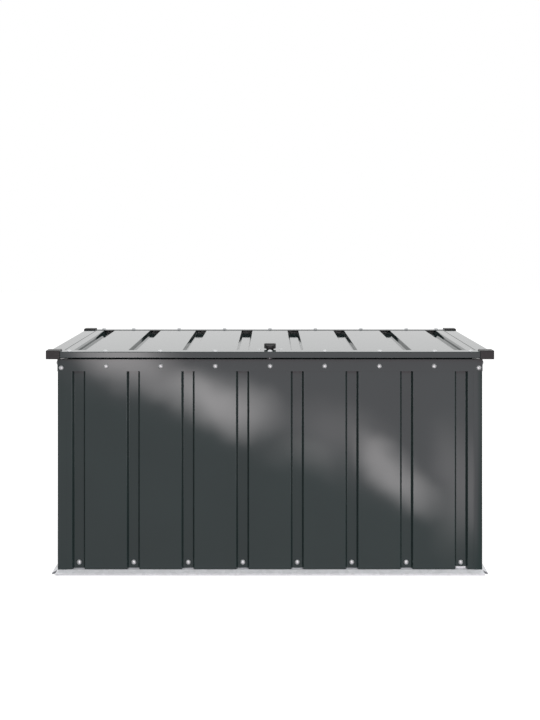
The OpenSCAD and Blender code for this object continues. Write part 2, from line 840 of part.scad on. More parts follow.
// Base plate on the back of the groove, and a bridge that brings the stud out to the strut
module strut_wall_bracket(side) {
    plate = wall_x - groove_back;
    bridge = strut_x + eye_r + bridge_gap;
    bridge_h = 30;
    color(steel) flip(side, 1) translate([0, lower_stud_y, lower_stud_z]) difference() {
        union() {
            translate([plate - bracket_t, -wall_bracket_w / 2, -wall_bracket_h / 2])
                cube([bracket_t, wall_bracket_w, wall_bracket_h]);
            translate([bridge, -wall_bracket_w / 2, -bridge_h / 2])
                cube([bracket_t, wall_bracket_w, bridge_h]);
            for (s = [-1, 1])
                translate([bridge, -wall_bracket_w / 2, s * (bridge_h - bracket_t) / 2 - bracket_t / 2])
                    cube([plate - bridge, wall_bracket_w, bracket_t]);
            translate([strut_x + eye_t / 2 + pass_gap, 0, 0]) rotate([0, 90, 0])
                cylinder(h = bridge - strut_x - eye_t / 2, r = stud_r + 2.5);
            translate([strut_x - eye_t / 2 - pass_gap - 1, 0, 0]) rotate([0, 90, 0])
                cylinder(h = bridge - strut_x + eye_t / 2 + 1, r = stud_r);
            translate([strut_x - eye_t / 2 - pass_gap - 1.5, 0, 0]) rotate([0, 90, 0])
                cylinder(h = 1.5, r = stud_r + 2.5);
        }
        for (s = [-1, 1]) translate([plate - 5, 0, s * wall_rivet_dz]) rotate([0, 90, 0])
            cylinder(h = 10, r = rivet_hole_r);
    }
}

module strut_wall_bracket_left() { strut_wall_bracket(-1); }
module strut_wall_bracket_right() { strut_wall_bracket(1); }

// Angle under the lid's last trough, with the stud that faces the strut's upper socket
module strut_lid_bracket(side) {
    flange_w = 26;
    plate_w = 28;
    foot_y = 46;
    plate_x = lid_bracket_x - flange_w / 2 + 12;
    socket_face = strut_x - eye_t / 2;
    color(steel) flip(side, 1) difference() {
        union() {
            translate([lid_bracket_x - flange_w / 2, upper_stud_y - foot_y / 2,
                    trough_under - lid_plate_t])
                cube([flange_w, foot_y, lid_plate_t]);
            translate([plate_x, upper_stud_y - plate_w / 2, upper_stud_z - 10])
                cube([lid_plate_t, plate_w, trough_under - upper_stud_z + 9]);
            translate([plate_x, upper_stud_y, upper_stud_z]) rotate([0, 90, 0])
                cylinder(h = socket_face - socket_gap - plate_x, r = stud_r);
        }
        for (y = strut_rivet_ys()) translate([lid_bracket_x, y, trough_under - 5])
            cylinder(h = 10, r = rivet_hole_r);
    }
}

module strut_lid_bracket_left() { strut_lid_bracket(-1); }
module strut_lid_bracket_right() { strut_lid_bracket(1); }

// Places a child drawn from the lower stud upwards along Z
module along_strut(side) {
    flip(side, 1) translate([strut_x, lower_stud_y, lower_stud_z])
        rotate([strut_tilt, 0, 0]) children();
}

module strut_cylinder(side) {
    bore_r = eye_r - cylinder_wall;
    tube_start = 8;
    bore_start = 22;
    color(black) along_strut(side) difference() {
        union() {
            rotate([0, 90, 0]) cylinder(h = eye_t, r = eye_r, center = true);
            translate([0, 0, tube_start]) cylinder(h = cylinder_top - tube_start, r = eye_r);
        }
        rotate([0, 90, 0]) cylinder(h = strut_dia * 2, r = stud_r + running_gap, center = true);
        translate([0, 0, bore_start])
            cylinder(h = cylinder_top - guide_t - bore_start, r = bore_r);
        translate([0, 0, bore_start])
            cylinder(h = cylinder_top, r = rod_dia / 2 + running_gap);
    }
}

module strut_cylinder_left() { strut_cylinder(-1); }
module strut_cylinder_right() { strut_cylinder(1); }

module strut_rod(side) {
    piston_r = eye_r - cylinder_wall - 2 * running_gap;
    color(chrome) along_strut(side) difference() {
        union() {
            translate([0, 0, piston_start]) cylinder(h = piston_t, r = piston_r);
            translate([0, 0, piston_start])
                cylinder(h = strut_len - piston_start, r = rod_dia / 2);
            translate([0, 0, strut_len]) rotate([0, 90, 0])
                cylinder(h = eye_t, r = eye_r, center = true);
        }
        // Socket on the side of the lid's stud
        translate([-eye_t / 2 - 1, 0, strut_len]) rotate([0, 90, 0])
            cylinder(h = 5, r = stud_r + 1);
    }
}

module strut_rod_left() { strut_rod(-1); }
module strut_rod_right() { strut_rod(1); }

// Rivets of the keeper, the hinges' wall leaves and the struts' wall brackets
module cabinet_rivets() {
    color(steel) {
        for (x = [-1, 1] * keeper_rivet_x)
            translate([x, -rail_inner_y + keeper_t, keeper_rivet_z])
                rotate([-90, 0, 0]) rivet(keeper_t + rail_t);
        for (hx = [-1, 1] * hinge_x, dx = leaf_rivet_x)
            translate([hx + dx, rail_y + hinge_t, wall_rivet_z])
                rotate([-90, 0, 0]) rivet(hinge_t + rail_t);
        for (s = [-1, 1], dz = [-1, 1] * wall_rivet_dz)
            translate([s * (wall_x - groove_back - bracket_t), lower_stud_y, lower_stud_z + dz])
                rotate([0, -s * 90, 0]) rivet(bracket_t + sheet_t);
    }
}

base_rail_front();
base_rail_back();
base_rail_left();
base_rail_right();
floor_crossmember();
floor_panel_left();
floor_panel_right();
front_wall();
back_wall();
left_wall();
right_wall();
corner_post_front_left();
corner_post_front_right();
corner_post_back_left();
corner_post_back_right();
top_rail_front();
top_rail_back();
top_rail_left();
top_rail_right();
front_wall_screws();
back_wall_screws();
left_wall_screws();
right_wall_screws();
cabinet_rivets();
lid_bumpers();
latch_keeper();
hinge_wall_leaf_left();
hinge_wall_leaf_right();
hinge_pin_left();
hinge_pin_right();
strut_wall_bracket_left();
strut_wall_bracket_right();
lid_sheet();
lid_trim_front();
lid_trim_back();
lid_trim_left();
lid_trim_right();
lid_cap_front_left();
lid_cap_front_right();
lid_cap_back_left();
lid_cap_back_right();
lid_brace_front();
lid_brace_back();
lid_screws_front();
lid_screws_back();
lid_rivets();
hinge_lid_leaf_left();
hinge_lid_leaf_right();
strut_lid_bracket_left();
strut_lid_bracket_right();
latch_housing();
latch_screws();
latch_knob();
latch_spindle();
latch_cam();
latch_nut();
strut_cylinder_left();
strut_cylinder_right();
strut_rod_left();
strut_rod_right();
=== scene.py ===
"""Deck storage box: the looks of its painted sheets, rails, base, fasteners, caps and latch."""

import json
import math

import bmesh
import bpy
from mathutils import Matrix, Vector


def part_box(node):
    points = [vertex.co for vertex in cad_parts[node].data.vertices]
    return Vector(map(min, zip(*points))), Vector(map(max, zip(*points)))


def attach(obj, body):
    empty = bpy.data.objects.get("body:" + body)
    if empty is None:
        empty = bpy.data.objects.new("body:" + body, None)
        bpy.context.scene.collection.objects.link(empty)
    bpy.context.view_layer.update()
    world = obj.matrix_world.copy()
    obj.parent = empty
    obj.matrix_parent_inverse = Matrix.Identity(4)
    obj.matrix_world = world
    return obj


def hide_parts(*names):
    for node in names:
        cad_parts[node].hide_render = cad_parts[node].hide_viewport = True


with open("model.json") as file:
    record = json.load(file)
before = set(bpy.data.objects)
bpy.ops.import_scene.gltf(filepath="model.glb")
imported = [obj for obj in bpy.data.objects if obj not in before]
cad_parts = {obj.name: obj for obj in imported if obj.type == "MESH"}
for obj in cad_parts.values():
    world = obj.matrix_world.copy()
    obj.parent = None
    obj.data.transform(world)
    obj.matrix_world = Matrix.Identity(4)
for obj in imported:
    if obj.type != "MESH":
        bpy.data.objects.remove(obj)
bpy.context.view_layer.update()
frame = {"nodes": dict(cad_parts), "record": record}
MM = 0.001


# ---- Sizes, read from the fixed frame ----

def corner(node, which):
    """The lowest (0) or highest (1) corner of a CAD node."""
    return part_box(node)[which]


wall_x = corner("front_wall", 1).x
wall_y = corner("back_wall", 1).y
wall_low, wall_high = corner("front_wall", 0).z, corner("front_wall", 1).z
side_half = corner("left_wall", 1).y
rail_x, rail_y = corner("top_rail_right", 1).x, corner("top_rail_back", 1).y
rail_low, rail_top = corner("top_rail_front", 0).z, corner("top_rail_front", 1).z
trim_x, trim_y = corner("lid_trim_right", 1).x, corner("lid_trim_back", 1).y
trim_low, trim_top = corner("lid_trim_front", 0).z, corner("lid_trim_front", 1).z
cap_x, cap_y = corner("lid_cap_back_right", 1).x, corner("lid_cap_back_right", 1).y
sheet_x, sheet_y = corner("lid_sheet", 1).x, corner("lid_sheet", 1).y
sheet_top = corner("lid_sheet", 1).z

groove_depth = 12 * MM
groove_mouth, groove_floor = 37 * MM, 28 * MM
groove_pitch = 158.5 * MM
wide_grooves, side_grooves = 8, 4
sheet_t, rail_t = 0.5 * MM, 1 * MM


def row(count):
    """Places along a wall, one groove pitch apart and centred on it."""
    return [(i - (count - 1) / 2) * groove_pitch for i in range(count)]


wide_centres, wide_flats = row(wide_grooves), row(wide_grooves - 1)
side_centres, side_flats = row(side_grooves), row(side_grooves - 1)


# ---- Node tree helpers ----

def add(tree, kind, inputs=None, **settings):
    """A node with its settings and its unlinked input values; a socket as a value is linked."""
    node = tree.nodes.new(kind)
    for key, value in settings.items():
        setattr(node, key, value)
    for key, value in (inputs or {}).items():
        if isinstance(value, bpy.types.NodeSocket):
            tree.links.new(value, node.inputs[key])
        else:
            node.inputs[key].default_value = value
    return node


def math_node(tree, operation, a, b=0.0, c=0.0):
    return add(tree, "ShaderNodeMath", {0: a, 1: b, 2: c}, operation=operation).outputs[0]


def new_tree(name, kind, inputs, outputs):
    """A node group whose sockets are (name, type, default) and (name, type)."""
    tree = bpy.data.node_groups.new(name, kind)
    for label, socket_type, default in inputs:
        socket = tree.interface.new_socket(label, in_out="INPUT", socket_type=socket_type)
        if default is not None:
            socket.default_value = default
    for label, socket_type in outputs:
        tree.interface.new_socket(label, in_out="OUTPUT", socket_type=socket_type)
    start = tree.nodes.new("NodeGroupInput")
    end = tree.nodes.new("NodeGroupOutput")
    return tree, start.outputs, end.inputs


FLOAT, COLOUR = "NodeSocketFloat", "NodeSocketColor"
INT, GEOMETRY, MATERIAL = "NodeSocketInt", "NodeSocketGeometry", "NodeSocketMaterial"


# ---- Shader effects that several finishes share ----

def make_coat_texture():
    """Sprayed powder coat: slow colour drift, orange peel height and patchy gloss."""
    tree, given, made = new_tree(
        "sprayed_coat", "ShaderNodeTree",
        [("Colour", COLOUR, (0.03, 0.035, 0.036, 1)), ("Drift", FLOAT, 0.06),
         ("Peel Size", FLOAT, 0.0025), ("Gloss Low", FLOAT, 0.1), ("Gloss High", FLOAT, 0.16)],
        [("Colour", COLOUR), ("Roughness", FLOAT), ("Height", FLOAT)])
    place = add(tree, "ShaderNodeTexCoord").outputs["Object"]
    slow = add(tree, "ShaderNodeTexNoise", {"Vector": place, "Scale": 3.5, "Detail": 3.0})
    peel_scale = math_node(tree, "DIVIDE", 1.0, given["Peel Size"])
    peel = add(tree, "ShaderNodeTexNoise",
               {"Vector": place, "Scale": peel_scale, "Detail": 1.0, "Roughness": 0.4})
    patch = add(tree, "ShaderNodeTexNoise", {"Vector": place, "Scale": 9.0, "Detail": 4.0})
    low = math_node(tree, "SUBTRACT", 1.0, given["Drift"])
    high = math_node(tree, "ADD", 1.0, given["Drift"])
    shade = add(tree, "ShaderNodeMapRange",
                {"Value": slow.outputs["Fac"], "From Min": 0.3, "From Max": 0.7,
                 "To Min": low, "To Max": high})
    tint = add(tree, "ShaderNodeVectorMath", {0: given["Colour"], 3: shade.outputs["Result"]},
               operation="SCALE")
    gloss = add(tree, "ShaderNodeMapRange",
                {"Value": patch.outputs["Fac"], "From Min": 0.3, "From Max": 0.7,
                 "To Min": given["Gloss Low"], "To Max": given["Gloss High"]})
    tree.links.new(tint.outputs["Vector"], made["Colour"])
    tree.links.new(gloss.outputs["Result"], made["Roughness"])
    tree.links.new(peel.outputs["Fac"], made["Height"])
    return tree


def make_metal_grain():
    """Rolled or plated metal: fine noise for height, and a roughness that follows it."""
    tree, given, made = new_tree(
        "metal_grain", "ShaderNodeTree",
        [("Scale", FLOAT, 400.0), ("Rough Low", FLOAT, 0.25), ("Rough High", FLOAT, 0.4)],
        [("Roughness", FLOAT), ("Height", FLOAT)])
    place = add(tree, "ShaderNodeTexCoord").outputs["Object"]
    grain = add(tree, "ShaderNodeTexNoise",
                {"Vector": place, "Scale": given["Scale"], "Detail": 3.0}).outputs["Fac"]
    rough = add(tree, "ShaderNodeMapRange",
                {"Value": grain, "From Min": 0.3, "From Max": 0.7,
                 "To Min": given["Rough Low"], "To Max": given["Rough High"]})
    tree.links.new(rough.outputs["Result"], made["Roughness"])
    tree.links.new(grain, made["Height"])
    return tree


coat_texture, metal_grain = make_coat_texture(), make_metal_grain()


def new_material(name, **sockets):
    """A material with a Principled BSDF whose constant sockets are set here."""
    material = bpy.data.materials.new(name)
    material.use_nodes = True
    shader = material.node_tree.nodes["Principled BSDF"]
    for key, value in sockets.items():
        shader.inputs[key.replace("_", " ")].default_value = value
    return material, material.node_tree, shader


def add_bump(tree, shader, height, strength, distance):
    bump = add(tree, "ShaderNodeBump",
               {"Height": height, "Strength": strength, "Distance": distance})
    tree.links.new(bump.outputs["Normal"], shader.inputs["Normal"])


def painted(name, colour, gloss, drift=0.06, peel=2.5 * MM, peel_depth=0.01 * MM):
    """Sprayed or moulded finish with a fine orange peel or grain."""
    material, tree, shader = new_material(name, IOR=1.5)
    group = add(tree, "ShaderNodeGroup", node_tree=coat_texture)
    group.inputs["Colour"].default_value = (*colour, 1)
    group.inputs["Drift"].default_value = drift
    group.inputs["Peel Size"].default_value = peel
    group.inputs["Gloss Low"].default_value, group.inputs["Gloss High"].default_value = gloss
    tree.links.new(group.outputs["Colour"], shader.inputs["Base Color"])
    tree.links.new(group.outputs["Roughness"], shader.inputs["Roughness"])
    add_bump(tree, shader, group.outputs["Height"], 0.2, peel_depth)
    return material


def bare_metal(name, colour, rough, scale=400.0, depth=0.01 * MM, spangle=0.0, metallic=1.0):
    """Plated or galvanised steel, with zinc crystals where spangle is above 0."""
    material, tree, shader = new_material(name, Metallic=metallic)
    grain = add(tree, "ShaderNodeGroup", node_tree=metal_grain)
    grain.inputs["Scale"].default_value = scale
    grain.inputs["Rough Low"].default_value, grain.inputs["Rough High"].default_value = rough
    place = add(tree, "ShaderNodeTexCoord").outputs["Object"]
    if spangle:
        crystals = add(tree, "ShaderNodeTexVoronoi", {"Vector": place, "Scale": 90.0})
        fac = add(tree, "ShaderNodeSeparateColor", {"Color": crystals.outputs["Color"]})
        pattern = fac.outputs["Red"]
    else:
        pattern = add(tree, "ShaderNodeTexNoise",
                      {"Vector": place, "Scale": 40.0, "Detail": 3.0}).outputs["Fac"]
    shade = add(tree, "ShaderNodeMapRange",
                {"Value": pattern, "To Min": 1 - (spangle or 0.06), "To Max": 1.0})
    tint = add(tree, "ShaderNodeVectorMath",
               {0: colour, 3: shade.outputs["Result"]}, operation="SCALE")
    tree.links.new(tint.outputs["Vector"], shader.inputs["Base Color"])
    tree.links.new(grain.outputs["Roughness"], shader.inputs["Roughness"])
    add_bump(tree, shader, grain.outputs["Height"], 0.3, depth)
    return material


def moulded(name, colour, rough, grain_size=0.6 * MM):
    """Moulded plastic or rubber with a fine spark-eroded grain."""
    return painted(name, colour, rough, drift=0.1, peel=grain_size, peel_depth=0.03 * MM)


ANTHRACITE = (0.0195, 0.0315, 0.0315)
paint = painted("anthracite_gloss", ANTHRACITE, (0.05, 0.08))
back_coat = painted("back_coat", (0.18, 0.185, 0.185), (0.35, 0.45), peel=1.5 * MM)
galvanised = bare_metal("galvanised_steel", (0.74, 0.75, 0.775), (0.4, 0.54), scale=250.0,
                        spangle=0.12, metallic=0.35)
zinc = bare_metal("zinc_plate", (0.6, 0.61, 0.62), (0.25, 0.4))
bright_zinc = bare_metal("bright_zinc", (0.66, 0.67, 0.68), (0.3, 0.38), scale=300.0,
                         depth=0.002 * MM, metallic=0.55)
polished = bare_metal("chromed_rod", (0.85, 0.86, 0.87), (0.05, 0.1), scale=1500.0)
black_plastic = moulded("black_moulding", (0.009, 0.009, 0.009), (0.36, 0.46))
black_paint = painted("satin_black", (0.01, 0.01, 0.011), (0.2, 0.3))
rubber = moulded("black_rubber", (0.014, 0.014, 0.014), (0.6, 0.75), grain_size=1 * MM)


# ---- Mesh helpers ----

SHARP_ANGLE = math.radians(35)


def finished(name, mesh, materials):
    """An object at the origin with its materials, smooth but for its sharp edges."""
    for material in materials:
        if material.name not in [m.name for m in mesh.materials if m]:
            mesh.materials.append(material)
    mesh.shade_smooth()
    mesh.set_sharp_from_angle(angle=SHARP_ANGLE)
    piece = bpy.data.objects.new(name, mesh)
    bpy.context.collection.objects.link(piece)
    return piece


def evaluated_mesh(piece):
    """Puts the mesh that the modifiers make in place of the piece's own."""
    depsgraph = bpy.context.evaluated_depsgraph_get()
    mesh = bpy.data.meshes.new_from_object(piece.evaluated_get(depsgraph))
    piece.modifiers.clear()
    piece.data = mesh
    return mesh


def bake_modifiers(piece):
    """A plain mesh whose bends are smooth, whose flats look flat and whose edges are sharp."""
    mesh = evaluated_mesh(piece)
    mesh.shade_smooth()
    mesh.set_sharp_from_angle(angle=SHARP_ANGLE)
    even = piece.modifiers.new("flat_faces", "WEIGHTED_NORMAL")
    even.keep_sharp, even.weight = True, 100
    evaluated_mesh(piece)
    return piece


def rounded(points, radius):
    """The polyline with an arc of that radius at each inner point."""
    steps = 4
    path = [Vector(points[0])]
    for before, here, after in zip(points, points[1:], points[2:]):
        here = Vector(here)
        back, ahead = (Vector(before) - here).normalized(), (Vector(after) - here).normalized()
        half_angle = back.angle(ahead) / 2
        reach = radius / math.tan(half_angle)
        middle = here + (back + ahead).normalized() * (radius / math.sin(half_angle))
        start, end = here + back * reach - middle, here + ahead * reach - middle
        for i in range(steps + 1):
            path.append(middle + start.slerp(end, i / steps) * radius)
    path.append(Vector(points[-1]))
    return path


def on_side(angle, reach):
    """Moves a piece drawn for the front, with y as depth from the plane, to another side."""
    return Matrix.Rotation(math.radians(angle), 4, "Z") @ Matrix.Translation((0, -reach, 0))


def folded_strip(name, path, half, place, thickness, materials, notch=None, mitre=1):
    """A sheet metal strip bent along path, (depth, height), and mitred or cut square."""
    mesh = bpy.data.meshes.new(name)
    bm = bmesh.new()
    pairs = []
    for depth, height in path:
        end = half - mitre * depth
        if notch is not None:
            end = min(end, half + notch)
        pairs.append([bm.verts.new((s * end, depth, height)) for s in (-1, 1)])
    for (left, right), (next_left, next_right) in zip(pairs, pairs[1:]):
        bm.faces.new((left, next_left, next_right, right))
    bm.transform(place)
    bm.to_mesh(mesh)
    bm.free()
    piece = finished(name, mesh, materials)
    solid = piece.modifiers.new("thickness", "SOLIDIFY")
    solid.thickness, solid.offset, solid.use_even_offset = thickness, -1, True
    if len(materials) > 1:
        solid.material_offset = 1
    return piece


def lathe(name, profile, place, materials, segments=48):
    """A closed turned shape from (radius, height) points, on its own Z axis."""
    mesh = bpy.data.meshes.new(name)
    bm = bmesh.new()
    rings = []
    for radius, height in profile:
        if radius == 0:
            rings.append([bm.verts.new((0, 0, height))])
            continue
        turn = [2 * math.pi * i / segments for i in range(segments)]
        rings.append([bm.verts.new((radius * math.cos(a), radius * math.sin(a), height))
                      for a in turn])
    for low, high in zip(rings, rings[1:]):
        for i in range(segments):
            j = (i + 1) % segments
            face = [low[i % len(low)], low[j % len(low)], high[j % len(high)], high[i % len(high)]]
            bm.faces.new(list(dict.fromkeys(face)))
    bmesh.ops.recalc_face_normals(bm, faces=bm.faces)
    bm.transform(place)
    bm.to_mesh(mesh)
    bm.free()
    return finished(name, mesh, materials)


# ---- Geometry Nodes: the grooved sheet ----

def make_grooved_sheet():
    """A sheet in the XZ plane whose grooves sink along +Y; folds have a bend radius."""
    tree, given, made = new_tree(
        "grooved_sheet", "GeometryNodeTree",
        [("Geometry", GEOMETRY, None), ("Grooves", INT, 8), ("Pitch", FLOAT, groove_pitch),
         ("Mouth", FLOAT, groove_mouth), ("Floor", FLOAT, groove_floor),
         ("Depth", FLOAT, groove_depth), ("Half Length", FLOAT, wall_x),
         ("Height", FLOAT, 0.6), ("Bend Radius", FLOAT, 1.5 * MM),
         ("Material", MATERIAL, None)],
        [("Geometry", GEOMETRY)])
    points_of = math_node(tree, "MULTIPLY_ADD", given["Grooves"], 4.0, 2.0)
    line = add(tree, "GeometryNodeMeshLine", {"Count": points_of})
    index = add(tree, "GeometryNodeInputIndex").outputs[0]
    step = math_node(tree, "SUBTRACT", index, 1.0)
    groove = math_node(tree, "FLOOR", math_node(tree, "DIVIDE", step, 4.0))
    # 0 and 3 are the mouth's edges, 1 and 2 the floor's
    part = math_node(tree, "SUBTRACT", step, math_node(tree, "MULTIPLY", groove, 4.0))
    from_middle = math_node(tree, "SUBTRACT", part, 1.5)
    side = math_node(tree, "SIGN", from_middle)
    on_floor = math_node(tree, "LESS_THAN", math_node(tree, "ABSOLUTE", from_middle), 1.0)
    spread = math_node(tree, "SUBTRACT", given["Floor"], given["Mouth"])
    width = math_node(tree, "MULTIPLY_ADD", on_floor, spread, given["Mouth"])
    middle = math_node(tree, "MULTIPLY", math_node(tree, "SUBTRACT", given["Grooves"], 1.0), 0.5)
    centre = math_node(tree, "MULTIPLY", math_node(tree, "SUBTRACT", groove, middle),
                       given["Pitch"])
    offset = math_node(tree, "MULTIPLY", side, math_node(tree, "MULTIPLY", width, 0.5))
    x = math_node(tree, "ADD", centre, offset)
    depth = math_node(tree, "MULTIPLY", on_floor, given["Depth"])
    # The first and last points are the sheet's own edges
    last = math_node(tree, "SUBTRACT", points_of, 1.5)
    at_start = math_node(tree, "LESS_THAN", index, 0.5)
    at_end = math_node(tree, "GREATER_THAN", index, last)
    at_edge = math_node(tree, "ADD", at_start, at_end)
    edge_side = math_node(tree, "SUBTRACT", at_end, at_start)
    edge_x = math_node(tree, "MULTIPLY", edge_side, given["Half Length"])
    inside = math_node(tree, "SUBTRACT", 1.0, at_edge)
    x = math_node(tree, "MULTIPLY_ADD", x, inside, edge_x)
    depth = math_node(tree, "MULTIPLY", depth, inside)
    position = add(tree, "ShaderNodeCombineXYZ", {"X": x, "Y": depth})
    moved = add(tree, "GeometryNodeSetPosition",
                {"Geometry": line.outputs[0], "Position": position.outputs[0]})
    curve = add(tree, "GeometryNodeMeshToCurve", {"Mesh": moved.outputs[0]})
    bends = add(tree, "GeometryNodeFilletCurve",
                {"Curve": curve.outputs[0], "Radius": given["Bend Radius"], "Count": 3},
                mode="POLY")
    edge = add(tree, "GeometryNodeCurveToMesh", {"Curve": bends.outputs[0]})
    rise = add(tree, "ShaderNodeCombineXYZ", {"Z": given["Height"]})
    sheet = add(tree, "GeometryNodeExtrudeMesh",
                {"Mesh": edge.outputs[0], "Offset": rise.outputs[0], "Offset Scale": 1.0},
                mode="EDGES")
    real = add(tree, "GeometryNodeRealizeInstances", {"Geometry": sheet.outputs[0]})
    dressed = add(tree, "GeometryNodeSetMaterial",
                  {"Geometry": real.outputs[0], "Material": given["Material"]})
    tree.links.new(dressed.outputs[0], made["Geometry"])
    return tree


def grow(name, tree, values, source=None):
    """An object whose mesh a Geometry Nodes tree makes from named input values."""
    mesh = source or bpy.data.meshes.new(name)
    piece = bpy.data.objects.new(name, mesh)
    bpy.context.collection.objects.link(piece)
    modifier = piece.modifiers.new("shape", "NODES")
    modifier.node_group = tree
    sockets = {s.name: s.identifier for s in tree.interface.items_tree if s.in_out == "INPUT"}
    for key, value in values.items():
        modifier[sockets[key]] = value
    return bake_modifiers(piece)


def face_front(mesh):
    """Turns an open sheet's faces so that they look along -Y."""
    bm = bmesh.new()
    bm.from_mesh(mesh)
    if sum(face.normal.y * face.calc_area() for face in bm.faces) > 0:
        bmesh.ops.reverse_faces(bm, faces=bm.faces)
    bm.to_mesh(mesh)
    bm.free()


grooved_sheet = make_grooved_sheet()


def pressed_sheet(name, grooves, half, height, place):
    """One grooved panel, painted outside and back-coated inside."""
    piece = grow(name, grooved_sheet, {
        "Grooves": grooves, "Half Length": half, "Height": height, "Material": paint})
    face_front(piece.data)
    piece.data.transform(place)
    piece.data.materials.append(back_coat)
    piece.data.shade_smooth()
    piece.data.set_sharp_from_angle(angle=math.radians(40))
    solid = piece.modifiers.new("thickness", "SOLIDIFY")
    solid.thickness, solid.offset, solid.material_offset = sheet_t, -1, 1
    solid.use_even_offset = True
    return piece


# ---- Geometry Nodes: screws and rivets ----

def make_fasteners():
    """One headed fastener on each point; the point's axis attribute is where its head looks."""
    tree, given, made = new_tree(
        "fasteners", "GeometryNodeTree",
        [("Geometry", GEOMETRY, None), ("Head Diameter", FLOAT, 0.014),
         ("Head Height", FLOAT, 0.005), ("Shank Diameter", FLOAT, 0.0048),
         ("Shank Length", FLOAT, 0.012), ("Tail Diameter", FLOAT, 0.0),
         ("Tail Height", FLOAT, 0.0012), ("Material", MATERIAL, None)],
        [("Geometry", GEOMETRY)])

    def half(socket):
        return math_node(tree, "MULTIPLY", socket, 0.5)

    # The head: a ball whose lower half is pressed flat onto the seat
    ball = add(tree, "GeometryNodeMeshUVSphere", {"Segments": 32, "Rings": 16, "Radius": 1.0})
    split = add(tree, "ShaderNodeSeparateXYZ",
                {0: add(tree, "GeometryNodeInputPosition").outputs[0]})
    radius = half(given["Head Diameter"])
    x = math_node(tree, "MULTIPLY", split.outputs["X"], radius)
    y = math_node(tree, "MULTIPLY", split.outputs["Y"], radius)
    rise = math_node(tree, "MAXIMUM", split.outputs["Z"], 0.0)
    z = math_node(tree, "MULTIPLY", rise, given["Head Height"])
    dome_place = add(tree, "ShaderNodeCombineXYZ", {"X": x, "Y": y, "Z": z})
    head = add(tree, "GeometryNodeSetPosition",
               {"Geometry": ball.outputs["Mesh"], "Position": dome_place.outputs[0]})

    def barrel(diameter, length, top):
        """A cylinder whose upper end is at the height top."""
        rod = add(tree, "GeometryNodeMeshCylinder",
                  {"Vertices": 20, "Radius": half(diameter), "Depth": length})
        drop = math_node(tree, "SUBTRACT", top, half(length))
        shift = add(tree, "ShaderNodeCombineXYZ", {"Z": drop})
        return add(tree, "GeometryNodeTransform",
                   {"Geometry": rod.outputs["Mesh"], "Translation": shift.outputs[0]}).outputs[0]

    shank = barrel(given["Shank Diameter"], given["Shank Length"], 0.0)
    foot = math_node(tree, "MULTIPLY", given["Shank Length"], -1.0)
    tail = barrel(given["Tail Diameter"], given["Tail Height"], foot)
    has_tail = math_node(tree, "GREATER_THAN", given["Tail Diameter"], 0.0)
    chosen = add(tree, "GeometryNodeSwitch", {"Switch": has_tail, "True": tail},
                 input_type="GEOMETRY")
    whole = add(tree, "GeometryNodeJoinGeometry")
    for part in (head.outputs[0], shank, chosen.outputs[0]):
        tree.links.new(part, whole.inputs[0])
    axis = add(tree, "GeometryNodeInputNamedAttribute", {"Name": "axis"},
               data_type="FLOAT_VECTOR")
    turned = add(tree, "FunctionNodeAlignRotationToVector", {"Vector": axis.outputs[0]},
                 axis="Z")
    placed = add(tree, "GeometryNodeInstanceOnPoints",
                 {"Points": given["Geometry"], "Instance": whole.outputs[0],
                  "Rotation": turned.outputs[0]})
    real = add(tree, "GeometryNodeRealizeInstances", {"Geometry": placed.outputs[0]})
    dressed = add(tree, "GeometryNodeSetMaterial",
                  {"Geometry": real.outputs[0], "Material": given["Material"]})
    tree.links.new(dressed.outputs[0], made["Geometry"])
    return tree


fasteners = make_fasteners()


def fasten(name, places, material, **sizes):
    """Fasteners at (point, axis) places; sizes are the tree's inputs in metres."""
    mesh = bpy.data.meshes.new(name + "_points")
    mesh.from_pydata([point for point, _ in places], [], [])
    axes = mesh.attributes.new("axis", "FLOAT_VECTOR", "POINT")
    for item, (_, axis) in zip(axes.data, places):
        item.vector = axis
    values = {key.replace("_", " ").title(): value for key, value in sizes.items()}
    piece = grow(name, fasteners, {**values, "Material": material}, source=mesh)
    piece.data.shade_smooth()
    piece.data.set_sharp_from_angle(angle=math.radians(50))
    return piece


# ---- Walls, rails and base ----

def show(piece, body, slot, *nodes):
    """Puts a finished piece on its body in place of the CAD nodes it stands for."""
    if piece.modifiers:
        bake_modifiers(piece)
    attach(piece, body)
    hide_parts(*nodes)


SIDES = {"front": (0, wall_y, wall_x), "back": (180, wall_y, wall_x),
         "left": (-90, wall_x, wall_y), "right": (90, wall_x, wall_y)}


def build_walls():
    height = wall_high - wall_low
    for side, (angle, reach, half) in SIDES.items():
        long_wall = side in ("front", "back")
        place = on_side(angle, reach) @ Matrix.Translation((0, 0, wall_low))
        sheet = pressed_sheet(f"{side}_panel", wide_grooves if long_wall else side_grooves,
                              half if long_wall else side_half, height, place)
        if side == "front":
            cut_drain(sheet, wide_centres[-1])
        show(sheet, "cabinet", "anthracite_steel", f"{side}_wall")


def cut_drain(sheet, x):
    """Notches the foot of one groove of the front wall; half of the cutter is below it."""
    width, depth, twice_height = 28 * MM, 4 * MM, 10 * MM
    size = Matrix.Diagonal((width, depth, twice_height, 1))
    cut_away(sheet, (cube_maker, Matrix.Translation((x, groove_depth - wall_y, wall_low)) @ size))


def build_rails():
    inner = corner("top_rail_front", 1).y + rail_y
    lip_low, bend = rail_top - 17.5 * MM, 1.3 * MM
    path = rounded([(inner, lip_low), (inner, rail_top), (0, rail_top), (0, rail_low)], bend)
    for side, (angle, reach, half) in SIDES.items():
        strip = folded_strip(f"{side}_rail", path, half + rail_t,
                             on_side(angle, reach + rail_t), rail_t, [paint, back_coat])
        show(strip, "cabinet", "anthracite_steel", f"top_rail_{side}")


